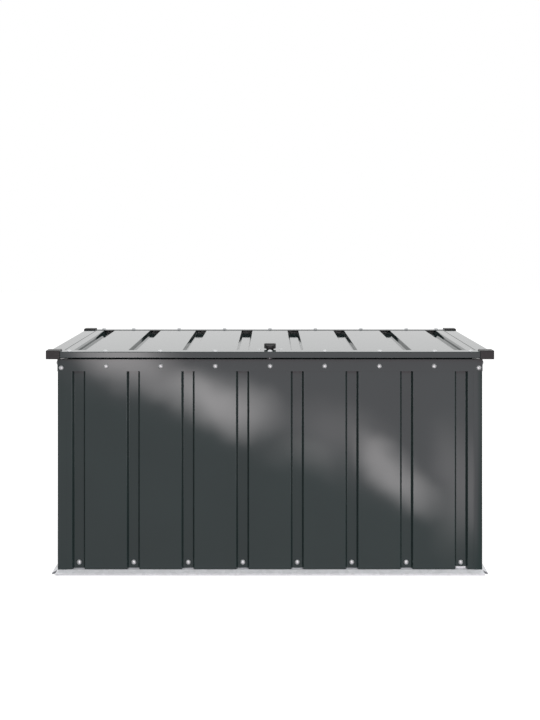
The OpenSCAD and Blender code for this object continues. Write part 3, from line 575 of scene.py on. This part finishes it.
def build_base():
    skirt = corner("base_rail_right", 1).x - wall_x
    ledge_top, lip = 12.4 * MM, 5 * MM
    ledge, hem = 38 * MM, 20 * MM
    corner_notch, bend = 5 * MM, 1 * MM
    upstand, upstand_top = groove_depth + sheet_t, corner("base_rail_front", 1).z
    path = rounded([(ledge, ledge_top), (0, ledge_top), (-skirt, lip), (-skirt, 0),
                    (hem - skirt, 0)], bend)
    for side, (angle, reach, half) in SIDES.items():
        place = on_side(angle, reach)
        base = folded_strip(f"{side}_base", path, half, place, rail_t, [galvanised],
                            notch=corner_notch)
        bake_modifiers(base)
        upright = folded_strip(f"{side}_upstand", [(upstand, upstand_top), (upstand, ledge_top)],
                               half, place, rail_t, [galvanised])
        bake_modifiers(upright)
        join(base, upright)
        show(base, "cabinet", "galvanised_steel", f"base_rail_{side}")


def join(piece, *others):
    """Adds the meshes of other pieces to the first, and removes those pieces."""
    bm = bmesh.new()
    bm.from_mesh(piece.data)
    for other in others:
        bm.from_mesh(other.data)
        bpy.data.objects.remove(other)
    bm.to_mesh(piece.data)
    bm.free()


def wall_screw_places(angle, reach, half, centres, flats, corner_z):
    """Head seats and directions of one wall's screws."""
    place = on_side(angle, reach)
    out = place.to_3x3() @ Vector((0, -1, 0))
    foot_z, rail_z, corner_inset = 30 * MM, rail_top - 20.5 * MM, 10 * MM
    seats = [(x, groove_depth, foot_z) for x in centres]
    seats += [(x, -rail_t, rail_z) for x in flats]
    seats += [(s * (half - corner_inset), -rail_t, corner_z) for s in (-1, 1)]
    return [(place @ Vector(seat), out) for seat in seats]


SCREW = dict(head_diameter=14 * MM, head_height=5 * MM, shank_diameter=4.8 * MM,
             shank_length=12 * MM)


def build_screws():
    # The corner screws of neighbouring walls sit at two heights, so they don't meet inside
    long_drop, short_drop = 25.5 * MM, 11.5 * MM
    for side, (angle, reach, half) in SIDES.items():
        long_wall = side in ("front", "back")
        corner_z = rail_top - (long_drop if long_wall else short_drop)
        places = wall_screw_places(
            angle, reach, half if long_wall else side_half,
            wide_centres if long_wall else side_centres,
            wide_flats if long_wall else side_flats, corner_z)
        screws = fasten(f"{side}_screws", places, bright_zinc, **SCREW)
        show(screws, "cabinet", "zinc_fastener", f"{side}_wall_screws")
    end_x, row_y = cap_x - 66 * MM, cap_y - 12 * MM
    for side, y in (("front", -row_y), ("back", row_y)):
        places = [((x, y, trim_top), (0, 0, 1)) for x in [-end_x, *wide_flats, end_x]]
        screws = fasten(f"lid_{side}_screws", places, bright_zinc, **SCREW)
        show(screws, "lid", "zinc_fastener", f"lid_screws_{side}")


# ---- Lid ----

def build_lid():
    lay = Matrix.Translation((0, -sheet_y, sheet_top)) @ Matrix.Rotation(-math.pi / 2, 4, "X")
    sheet = pressed_sheet("lid_panel", wide_grooves, sheet_x, 2 * sheet_y, lay)
    show(sheet, "lid", "anthracite_steel", "lid_sheet")
    top_w, bottom_w, bend = 40 * MM, 45 * MM, 2 * MM
    path = rounded([(top_w, trim_top), (0, trim_top), (0, trim_low), (bottom_w, trim_low)],
                   bend)
    for side, (angle, _, _) in SIDES.items():
        across = side in ("front", "back")
        reach, half = (trim_y, trim_x) if across else (trim_x, trim_y)
        trim = folded_strip(f"lid_{side}_edge", path, half, on_side(angle, reach), rail_t,
                            [paint, back_coat])
        show(trim, "lid", "anthracite_steel", f"lid_trim_{side}")


def build_caps():
    low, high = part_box("lid_cap_back_right")
    size = high - low
    for sx, side in ((-1, "left"), (1, "right")):
        for sy, end in ((-1, "front"), (1, "back")):
            mesh = bpy.data.meshes.new(f"cap_{end}_{side}")
            bm = bmesh.new()
            bmesh.ops.create_cube(bm, size=1)
            bm.transform(Matrix.Translation((low + high) / 2) @ Matrix.Diagonal((*size, 1)))
            bmesh.ops.bevel(bm, geom=[e for e in bm.edges], offset=2 * MM, segments=4,
                            affect="EDGES", profile=0.5)
            bm.to_mesh(mesh)
            bm.free()
            cap = finished(f"cap_{end}_{side}", mesh, [black_plastic])
            cut_pocket(cap, low)
            turn_to_corner(cap, sx, sy)
            show(cap, "lid", "black_plastic", f"lid_cap_{end}_{side}")


def cut_pocket(cap, low):
    """Hollows a cap for the ends of the two trims it covers."""
    over = 5 * MM
    start = Vector((low.x - over, low.y - over, trim_low))
    end = Vector((trim_x, trim_y, trim_top))
    size = Matrix.Diagonal((*(end - start), 1))
    cut_away(cap, (cube_maker, Matrix.Translation((start + end) / 2) @ size))


# ---- Latch, posts, braces and floor ----

def cut_away(piece, *cutters):
    """Subtracts meshes built as (bmesh maker, place) from the piece."""
    for maker, place in cutters:
        mesh = bpy.data.meshes.new("cutter")
        bm = bmesh.new()
        maker(bm)
        bm.transform(place)
        bm.to_mesh(mesh)
        bm.free()
        tool = bpy.data.objects.new("cutter", mesh)
        bpy.context.collection.objects.link(tool)
        cut = piece.modifiers.new("cut", "BOOLEAN")
        cut.object, cut.solver = tool, "EXACT"
        bake_modifiers(piece)
        bpy.data.objects.remove(tool)


def soften(piece, width):
    """Rounds the piece's sharp edges."""
    bm = bmesh.new()
    bm.from_mesh(piece.data)
    bmesh.ops.remove_doubles(bm, verts=bm.verts, dist=0.005 * MM)
    bmesh.ops.dissolve_limit(bm, angle_limit=math.radians(1), verts=bm.verts, edges=bm.edges)
    bm.to_mesh(piece.data)
    bm.free()
    edges = piece.modifiers.new("rounding", "BEVEL")
    edges.width, edges.segments, edges.limit_method = width, 3, "ANGLE"
    edges.angle_limit, edges.harden_normals = SHARP_ANGLE, False
    bake_modifiers(piece)


def cube_maker(bm):
    bmesh.ops.create_cube(bm, size=1)


def rod_maker(bm):
    bmesh.ops.create_cone(bm, cap_ends=True, segments=64, radius1=1, radius2=1, depth=1)


def build_knob():
    low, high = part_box("latch_knob")
    radius, top = (high.x - low.x) / 2, high.z - low.z
    neck_h, neck_r, bore_r, bore_top = 2.7 * MM, 11 * MM, 4 * MM, 8 * MM
    scoop_r, scoop_depth, bar_half = 14 * MM, 6 * MM, 4.5 * MM
    flare = [(radius - 0.6 * MM, neck_h), (radius, neck_h + 0.6 * MM)]
    crown = [(radius, top - 1.5 * MM), (radius - 0.5 * MM, top - 0.45 * MM),
             (radius - 1.5 * MM, top)]
    place = Matrix.Translation(((low.x + high.x) / 2, (low.y + high.y) / 2, low.z))
    knob = lathe("knob", [(0, bore_top), (bore_r, bore_top), (bore_r, 0), (neck_r, 0),
                          (neck_r, neck_h), *flare, *crown, (0, top)], place,
                 [black_plastic], segments=96)
    across = Matrix.Rotation(math.pi / 2, 4, "Y")
    size = Matrix.Diagonal((scoop_r, scoop_r, 1.4 * radius, 1))
    scoops = [(rod_maker, place @ Matrix.Translation(
        (0, s * (bar_half + scoop_r), top - scoop_depth + scoop_r)) @ across @ size)
        for s in (-1, 1)]
    cut_away(knob, *scoops)
    edge_round = 0.35 * MM
    soften(knob, edge_round)
    show(knob, "latch", "black_plastic", "latch_knob")


def build_latch_screws():
    low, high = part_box("latch_screws")
    knob_y = (low.y + high.y) / 2
    screw_x = 32 * MM
    places = [((s * screw_x, knob_y, sheet_top), (0, 0, 1)) for s in (-1, 1)]
    screws = fasten("knob_screws", places, bright_zinc, head_diameter=9.4 * MM,
                    head_height=1.4 * MM, shank_diameter=4 * MM,
                    shank_length=sheet_top - low.z)
    nut_h, nut_r, hole_r = 3.2 * MM, 4 * MM, 2.05 * MM
    nut_z = sheet_top - sheet_t - 1.5 * MM - nut_h
    nuts = [lathe("nut", [(hole_r, 0), (nut_r, 0), (nut_r, nut_h), (hole_r, nut_h),
                          (hole_r, 0)], Matrix.Translation((s * screw_x, knob_y, nut_z)),
                  [bright_zinc], segments=6) for s in (-1, 1)]
    join(screws, *nuts)
    show(screws, "lid", "zinc_fastener", "latch_screws")


def rivets(name, places, grip):
    return fasten(name, places, zinc, head_diameter=8 * MM, head_height=1.6 * MM,
                  shank_diameter=4 * MM, shank_length=grip, tail_diameter=6.4 * MM,
                  tail_height=1.2 * MM)


def middle(node):
    low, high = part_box(node)
    return (low + high) / 2


def build_rivets():
    hinge_x, leaf_t, leaf_pitch = middle("hinge_lid_leaf_right").x, 2 * MM, 13 * MM
    leaf_x = [s * hinge_x + dx * leaf_pitch for s in (-1, 1) for dx in (-1, 0, 1)]
    axis_y = middle("hinge_pin_right").y

    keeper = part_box("latch_keeper")
    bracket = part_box("strut_wall_bracket_right")
    stud = middle("strut_wall_bracket_right")
    keeper_t, keeper_x, keeper_drop = 1.5 * MM, 17 * MM, 9.5 * MM
    hinge_drop, bracket_reach = 22 * MM, 26 * MM
    at_keeper = [((s * keeper_x, keeper[0].y + keeper_t, rail_top - keeper_drop), (0, 1, 0))
                 for s in (-1, 1)]
    at_hinges = [((x, rail_y + leaf_t, rail_top - hinge_drop), (0, 1, 0)) for x in leaf_x]
    at_walls = [((s * (bracket[1].x - leaf_t), stud.y, stud.z + up * bracket_reach), (-s, 0, 0))
                for s in (-1, 1) for up in (-1, 1)]
    whole = rivets("wall_rivets", at_keeper, keeper_t + rail_t)
    join(whole, rivets("hinge_rivets", at_hinges, leaf_t + rail_t),
         rivets("strut_rivets", at_walls, leaf_t + sheet_t))
    show(whole, "cabinet", "zinc_plate", "cabinet_rivets")

    brace_y = middle("lid_brace_back").y
    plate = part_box("strut_lid_bracket_right")
    trough_under = plate[1].z
    brace_inset, brace_reach, leaf_reach, plate_reach = 22 * MM, 12 * MM, 18 * MM, 18.5 * MM
    at_braces = [((sx * (trim_x - brace_inset), sy * brace_y + d * brace_reach, trim_low),
                  (0, 0, -1)) for sx in (-1, 1) for sy in (-1, 1) for d in (-1, 1)]
    at_leaves = [((x, axis_y - leaf_reach, trim_low - leaf_t), (0, 0, -1)) for x in leaf_x]
    upper = middle("strut_lid_bracket_right").y
    at_plates = [((s * wide_centres[-1], upper + d * plate_reach, trough_under - leaf_t),
                  (0, 0, -1)) for s in (-1, 1) for d in (-1, 1)]
    whole = rivets("brace_rivets", at_braces, 2 * rail_t)
    join(whole, rivets("leaf_rivets", at_leaves, leaf_t + rail_t),
         rivets("plate_rivets", at_plates, leaf_t + sheet_t))
    show(whole, "lid", "zinc_plate", "lid_rivets")


def build_posts():
    upright = Matrix(((0, 1, 0, 0), (0, 0, 1, 0), (1, 0, 0, 0), (0, 0, 0, 1)))
    low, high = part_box("corner_post_back_right")
    height = high.z - low.z
    bend = 1.5 * MM
    path = rounded([(low.x, high.y), (high.x, high.y), (high.x, low.y)], bend)
    lift = Matrix.Translation((0, 0, low.z + height / 2))
    for sx, side in ((-1, "left"), (1, "right")):
        for sy, end in ((-1, "front"), (1, "back")):
            post = folded_strip(f"post_{end}_{side}", path, height / 2, lift @ upright,
                                rail_t, [paint], mitre=0)
            bake_modifiers(post)
            turn_to_corner(post, sx, sy)
            show(post, "cabinet", "anthracite_steel", f"corner_post_{end}_{side}")


def turn_to_corner(piece, sx, sy):
    """Mirrors a piece made for the right back corner to another one."""
    piece.data.transform(Matrix.Diagonal((sx, sy, 1, 1)))
    if sx * sy < 0:
        piece.data.flip_normals()


def build_braces():
    for end in ("front", "back"):
        low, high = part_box(f"lid_brace_{end}")
        width, bend = high.y - low.y, 1.4 * MM
        path = rounded([(width, high.z), (width, low.z), (0, low.z), (0, high.z)], bend)
        place = Matrix.Translation((0, low.y, 0))
        brace = folded_strip(f"brace_{end}", path, (high.x - low.x) / 2, place, rail_t,
                             [paint], mitre=0)
        show(brace, "lid", "anthracite_steel", f"lid_brace_{end}")


def build_floor():
    rib_w, rib_inset, rib_slope = 24 * MM, 60 * MM, 3 * MM
    for side in ("left", "right"):
        low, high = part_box(f"floor_panel_{side}")
        mesh = bpy.data.meshes.new(f"floor_{side}")
        bm = bmesh.new()
        flat_z, rib_z = low.z + sheet_t, high.z
        outline = [bm.verts.new((x, y, flat_z)) for x, y in
                   ((low.x, low.y), (high.x, low.y), (high.x, high.y), (low.x, high.y))]
        loops = [outline]
        for share in (1 / 3, 2 / 3):
            x = low.x + (high.x - low.x) * share
            foot = rib_ring(bm, x, rib_w / 2, low.y + rib_inset, high.y - rib_inset, flat_z)
            crest = rib_ring(bm, x, rib_w / 2 - rib_slope, low.y + rib_inset + rib_slope,
                             high.y - rib_inset - rib_slope, rib_z)
            for i, here in enumerate(foot):
                j = (i + 1) % len(foot)
                bm.faces.new((here, foot[j], crest[j], crest[i]))
            bm.faces.new(crest)
            loops.append(foot)
        edges = []
        for loop in loops:
            for a, b in zip(loop, loop[1:] + loop[:1]):
                edges.append(bm.edges.get((a, b)) or bm.edges.new((a, b)))
        bmesh.ops.triangle_fill(bm, use_beauty=True, edges=edges)
        bmesh.ops.recalc_face_normals(bm, faces=bm.faces)
        if sum(f.normal.z for f in bm.faces) < 0:
            bmesh.ops.reverse_faces(bm, faces=bm.faces)
        bm.to_mesh(mesh)
        bm.free()
        panel = finished(f"floor_{side}", mesh, [galvanised])
        solid = panel.modifiers.new("thickness", "SOLIDIFY")
        solid.thickness, solid.offset = sheet_t, -1
        show(panel, "cabinet", "galvanised_steel", f"floor_panel_{side}")


def rib_ring(bm, x, half_w, y_low, y_high, z):
    """One level of a rib with round ends."""
    turn = [math.pi * i / 8 for i in range(9)]
    ring = [(x + half_w * math.cos(a), y_high - half_w + half_w * math.sin(a)) for a in turn]
    ring += [(x - half_w * math.cos(a), y_low + half_w - half_w * math.sin(a)) for a in turn]
    return [bm.verts.new((px, py, z)) for px, py in ring]


def build_bumpers():
    low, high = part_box("lid_bumpers")
    radius, height = 6 * MM, high.z - low.z
    rail_mid = 16.5 * MM
    spots = [(s * 3 * groove_pitch, rail_mid - rail_y) for s in (-1, 1)]
    spots += [(s * (rail_x - rail_mid), 0) for s in (-1, 1)]
    profile = [(0, 0), (radius, 0), (radius, height - 1.5 * MM),
               (radius - 0.5 * MM, height - 0.5 * MM), (radius - 1.6 * MM, height), (0, height)]
    stops = [lathe("stop", profile, Matrix.Translation((x, y, low.z)), [rubber])
             for x, y in spots]
    join(*stops)
    show(stops[0], "cabinet", "rubber", "lid_bumpers")


# ---- Finishes of the CAD nodes that are shown as they are ----

def dress_frame():
    finishes = {"anthracite_steel": paint, "galvanised_steel": galvanised, "zinc_plate": zinc,
                "zinc_fastener": bright_zinc, "black_plastic": black_plastic,
                "black_paint": black_paint, "chromed_steel": polished, "rubber": rubber}
    slots = {s["node"]: s["material_slot"] for s in frame["record"]["subparts"]}
    for name, node in frame["nodes"].items():
        material = finishes[slots[name]]
        if not node.data.materials:
            node.data.materials.append(material)
        for i in range(len(node.data.materials)):
            node.data.materials[i] = material


# ---- Studio ----

# Where the wall shows each soft light: wall x and z, half sizes, tilt in degrees, strength
CLOUDS = [(-0.13, 0.49, 0.15, 0.075, -22, 4.6), (-0.33, 0.575, 0.2, 0.06, -20, 2.6),
          (0.335, 0.31, 0.1, 0.06, -40, 4.0), (0.42, 0.23, 0.09, 0.05, -45, 2.6),
          (0.2, 0.4, 0.17, 0.09, -10, 0.9), (0.1, 0.33, 0.1, 0.05, -15, 1.1),
          (-0.44, 0.66, 0.17, 0.06, -8, 3.4), (0.55, 0.25, 0.07, 0.2, 0, 1.2)]
CARD_GAP = 1.5
HAZE_TINT, CLOUD_TINT = (1.05, 0.84, 0.93), (1.02, 0.98, 0.98)


def cloud_card():
    """A card of soft lights in front of the box that shows only in its gloss."""
    eye = bpy.context.scene.camera.location
    spread = 1 + CARD_GAP / (-wall_y - eye.y)

    def seen_at(x, z):
        return eye.x + (x - eye.x) * spread, eye.z + (z - eye.z) * spread

    left, low = seen_at(-1.2, -0.35)
    right, high = seen_at(1.2, 1.25)
    y = -wall_y - CARD_GAP
    mesh = bpy.data.meshes.new("cloud_card")
    mesh.from_pydata([(left, y, low), (right, y, low), (right, y, high), (left, y, high)],
                     [], [(0, 1, 2, 3)])
    card = bpy.data.objects.new("cloud_card", mesh)
    bpy.context.collection.objects.link(card)
    material = bpy.data.materials.new("cloud_card")
    material.use_nodes = True
    tree = material.node_tree
    tree.nodes.clear()
    place = add(tree, "ShaderNodeTexCoord").outputs["Object"]
    noise = add(tree, "ShaderNodeTexNoise", {"Vector": place, "Scale": 3.0, "Detail": 3.0})
    drift = add(tree, "ShaderNodeVectorMath", {0: noise.outputs["Color"], 3: 0.22},
                operation="SCALE")
    warped = add(tree, "ShaderNodeVectorMath", {0: place, 1: drift.outputs[0]},
                 operation="ADD").outputs[0]
    warped = add(tree, "ShaderNodeVectorMath", {0: warped, 1: (0.11, 0.11, 0.11)},
                 operation="SUBTRACT").outputs[0]
    haze = diagonal_haze(tree, warped, seen_at(-0.54, 0.56), seen_at(0.44, 0.16))
    glow = 0.0
    for x, z, rx, rz, tilt, strength in CLOUDS:
        x, z = seen_at(x, z)
        local = add(tree, "ShaderNodeMapping",
                    {"Vector": warped, "Location": (x, 0, z),
                     "Rotation": (0, -math.radians(tilt), 0),
                     "Scale": (rx * spread, 1, rz * spread)}, vector_type="TEXTURE")
        flat = add(tree, "ShaderNodeVectorMath", {0: local.outputs[0], 1: (1, 0, 1)},
                   operation="MULTIPLY")
        length = add(tree, "ShaderNodeVectorMath", {0: flat.outputs[0]}, operation="LENGTH")
        soft = add(tree, "ShaderNodeMapRange",
                   {"Value": length.outputs["Value"], "From Min": 1.4, "From Max": 0.1,
                    "To Min": 0.0, "To Max": strength}, interpolation_type="SMOOTHSTEP")
        glow = math_node(tree, "ADD", glow, soft.outputs[0])
    centre = Vector(((left + right) / 2, y, (low + high) / 2))
    inward = add(tree, "ShaderNodeVectorMath", {0: place, 1: centre}, operation="SUBTRACT")
    share = add(tree, "ShaderNodeVectorMath",
                {0: inward.outputs[0], 1: (2 / (right - left), 0, 2 / (high - low))},
                operation="MULTIPLY")
    reach = add(tree, "ShaderNodeVectorMath", {0: share.outputs[0]}, operation="LENGTH")
    fade = add(tree, "ShaderNodeMapRange",
               {"Value": reach.outputs["Value"], "From Min": 1.0, "From Max": 0.6},
               interpolation_type="SMOOTHSTEP")
    warm_haze = add(tree, "ShaderNodeVectorMath", {0: HAZE_TINT, 3: haze}, operation="SCALE")
    pale_clouds = add(tree, "ShaderNodeVectorMath", {0: CLOUD_TINT, 3: glow}, operation="SCALE")
    colour = add(tree, "ShaderNodeVectorMath", {0: warm_haze.outputs[0], 1: pale_clouds.outputs[0]},
                 operation="ADD")
    light = add(tree, "ShaderNodeEmission",
                {"Color": colour.outputs[0], "Strength": fade.outputs[0]})
    clear = add(tree, "ShaderNodeBsdfTransparent")
    both = add(tree, "ShaderNodeAddShader", {0: light.outputs[0], 1: clear.outputs[0]})
    out = add(tree, "ShaderNodeOutputMaterial")
    tree.links.new(both.outputs[0], out.inputs["Surface"])
    mesh.materials.append(material)
    for ray in ("camera", "diffuse", "shadow", "transmission", "volume_scatter"):
        setattr(card, f"visible_{ray}", False)


def diagonal_haze(tree, place, start, end):
    """A faint even glow above the line through two points of the card, given as (x, z)."""
    slope = (end[1] - start[1]) / (end[0] - start[0])
    split = add(tree, "ShaderNodeSeparateXYZ", {0: place})
    line = math_node(tree, "MULTIPLY_ADD", split.outputs["X"], slope, start[1] - slope * start[0])
    above = math_node(tree, "SUBTRACT", split.outputs["Z"], line)
    return add(tree, "ShaderNodeMapRange",
               {"Value": above, "From Min": -0.06, "From Max": 0.2, "To Min": 0.34,
                "To Max": 1.1}, interpolation_type="SMOOTHSTEP").outputs[0]


def area_light(name, location, size, power):
    """A rectangular light that faces the middle of the box."""
    look_at = (0, 0, 0.3)
    light = bpy.data.lights.new(name, "AREA")
    light.shape, light.size, light.size_y, light.energy = "RECTANGLE", *size, power
    lamp = bpy.data.objects.new(name, light)
    bpy.context.collection.objects.link(lamp)
    lamp.location = location
    lamp.rotation_euler = (Vector(look_at) - Vector(location)).to_track_quat("-Z", "Y").to_euler()
    return lamp


def build_stage():
    mesh = bpy.data.meshes.new("floor")
    half = 12
    mesh.from_pydata([(-half, -half, 0), (half, -half, 0), (half, half, 0), (-half, half, 0)],
                     [], [(0, 1, 2, 3)])
    floor = bpy.data.objects.new("floor", mesh)
    bpy.context.collection.objects.link(floor)
    material, _, shader = new_material("pale_floor", Roughness=0.9)
    shader.inputs["Base Color"].default_value = (0.45, 0.45, 0.45, 1)
    shader.inputs["Specular IOR Level"].default_value = 0
    shader.inputs["Emission Color"].default_value = (1, 1, 1, 1)
    shader.inputs["Emission Strength"].default_value = 0.75
    mesh.materials.append(material)
    floor.visible_glossy = floor.visible_diffuse = False

    world = bpy.data.worlds.new("studio")
    world.use_nodes = True
    tree = world.node_tree
    toward = add(tree, "ShaderNodeTexCoord").outputs["Generated"]
    split = add(tree, "ShaderNodeSeparateXYZ", {0: toward})
    lift = math_node(tree, "MULTIPLY_ADD", split.outputs["Z"], 0.8, split.outputs["Y"])
    bright = add(tree, "ShaderNodeMapRange",
                 {"Value": lift, "From Min": -0.2, "From Max": 0.2, "To Min": 0.35,
                  "To Max": 1.0}, interpolation_type="SMOOTHSTEP")
    seen = add(tree, "ShaderNodeLightPath").outputs["Is Camera Ray"]
    strength = math_node(tree, "MAXIMUM", bright.outputs[0], seen)
    tree.links.new(strength, tree.nodes["Background"].inputs["Strength"])
    tree.nodes["Background"].inputs["Color"].default_value = (1, 1, 1, 1)
    bpy.context.scene.world = world
    bpy.context.scene.view_settings.view_transform = "Standard"

    fill_size, fill_watts = (3.5, 2.5), 150
    fill = area_light("front_fill", (0.6, -4.2, 2.4), fill_size, fill_watts)
    fill.visible_glossy = False
    cloud_card()


def build_camera():
    camera = bpy.data.cameras.new("camera")
    camera.sensor_width, camera.lens = 36, 53.4
    camera.shift_y = -0.19
    rig = bpy.data.objects.new("camera", camera)
    bpy.context.collection.objects.link(rig)
    rig.location = (0, -3.405, 1.016)
    rig.rotation_euler = (math.pi / 2, 0, 0)
    bpy.context.scene.camera = rig


build_camera()
dress_frame()
build_walls()
build_rails()
build_base()
build_lid()
build_caps()
build_screws()
build_knob()
build_latch_screws()
build_rivets()
build_posts()
build_braces()
build_floor()
build_bumpers()
build_stage()
